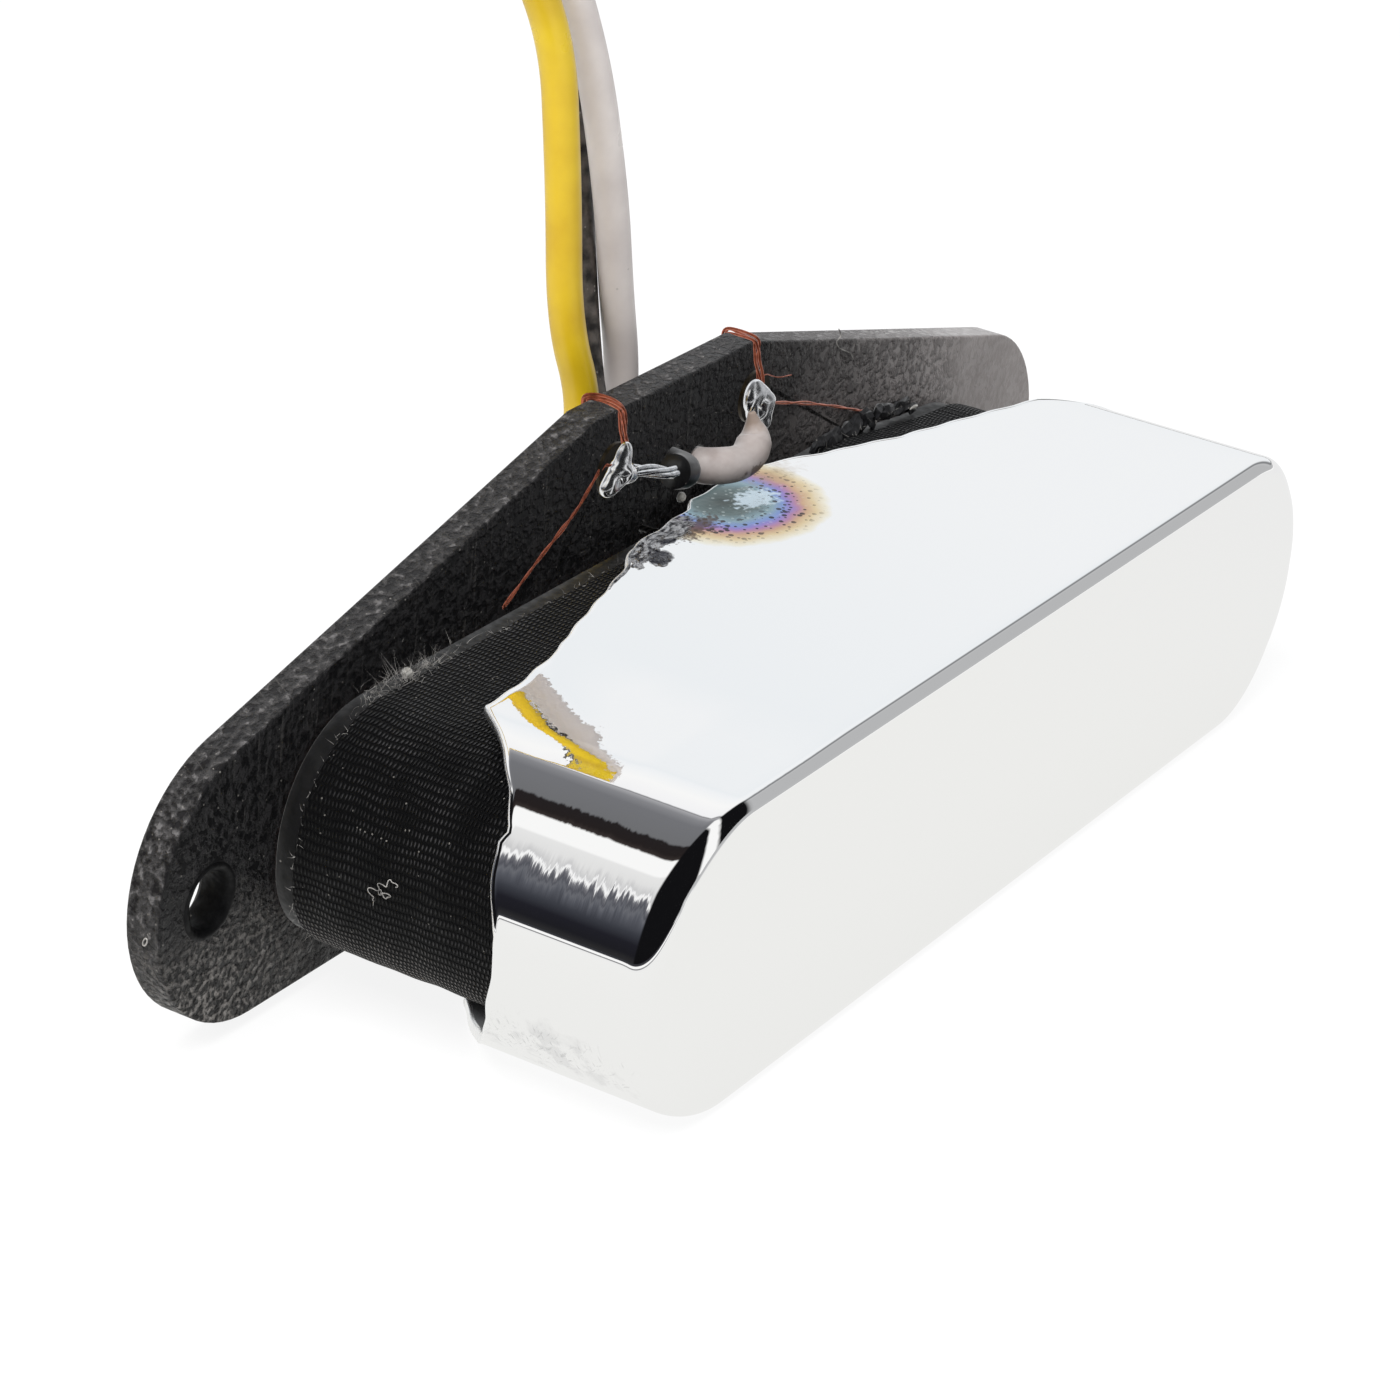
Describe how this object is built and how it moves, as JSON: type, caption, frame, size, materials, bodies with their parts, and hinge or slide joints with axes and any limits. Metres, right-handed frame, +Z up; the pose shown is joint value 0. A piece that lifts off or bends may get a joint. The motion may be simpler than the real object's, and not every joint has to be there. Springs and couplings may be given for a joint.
{
  "type": "guitar pickup",
  "caption": "Slim single-coil guitar pickup with a chromed metal cover, black fibre base plate and yellow, black and white leads that arch up and end in a tied loop",
  "frame": {"origin": "midway between the two screw holes, on the back face of the base plate", "axes": "+X along the coil, to the right when the cover's face is seen; +Y out of the back of the base plate, so the cover's face looks along -Y; +Z up, towards the base plate's apex with the eyelets"},
  "size_m": [0.1086, 0.0426, 0.0607],
  "materials": {
    "black_fibre": "matte, fibrous, with a pale sawn edge",
    "cover_metal": "bright, lightly scuffed, heat-tinted over the ground joint",
    "cloth_tape": "matte woven",
    "smooth_tape": "satin",
    "copper_wire": "bright enamelled copper",
    "solder": "bright",
    "eyelet_brass": "bright",
    "magnet_metal": "ground ends, rough sides",
    "potting_wax": "waxy",
    "yellow_insulation": "glossy",
    "black_insulation": "glossy, a little dusty",
    "white_insulation": "glossy",
    "tinned_wire": "bright tinned strands",
    "tie_band": "matte"
  },
  "bodies": {
    "root": {"base_plate": "black_fibre", "front_plate": "black_fibre", "core_wax": "potting_wax", "coil_winding": "copper_wire", "coil_inner_tape": "smooth_tape", "coil_cloth_tape": "cloth_tape", "cover": "cover_metal", "cover_ground_solder": "solder", "ground_wire": "tinned_wire", "black_lead_end": "black_insulation", "white_lead_end": "white_insulation", "black_lead_strands": "tinned_wire", "white_lead_strands": "tinned_wire", "lead_tie": "tie_band", "pole_magnet_1": "magnet_metal", "pole_magnet_2": "magnet_metal", "pole_magnet_3": "magnet_metal", "pole_magnet_4": "magnet_metal", "pole_magnet_5": "magnet_metal", "pole_magnet_6": "magnet_metal", "left_eyelet": "eyelet_brass", "left_solder": "solder", "left_wire_wrap": "copper_wire", "left_coil_wire": "copper_wire", "right_eyelet": "eyelet_brass", "right_solder": "solder", "right_wire_wrap": "copper_wire", "right_coil_wire": "copper_wire", "yellow_lead": "yellow_insulation", "yellow_lead_loop": "yellow_insulation", "yellow_lead_tip": "tinned_wire", "black_lead": "black_insulation", "black_lead_loop": "black_insulation", "black_lead_tip": "tinned_wire", "white_lead": "white_insulation", "white_lead_loop": "white_insulation", "white_lead_tip": "tinned_wire"}
  },
  "joints": []
}
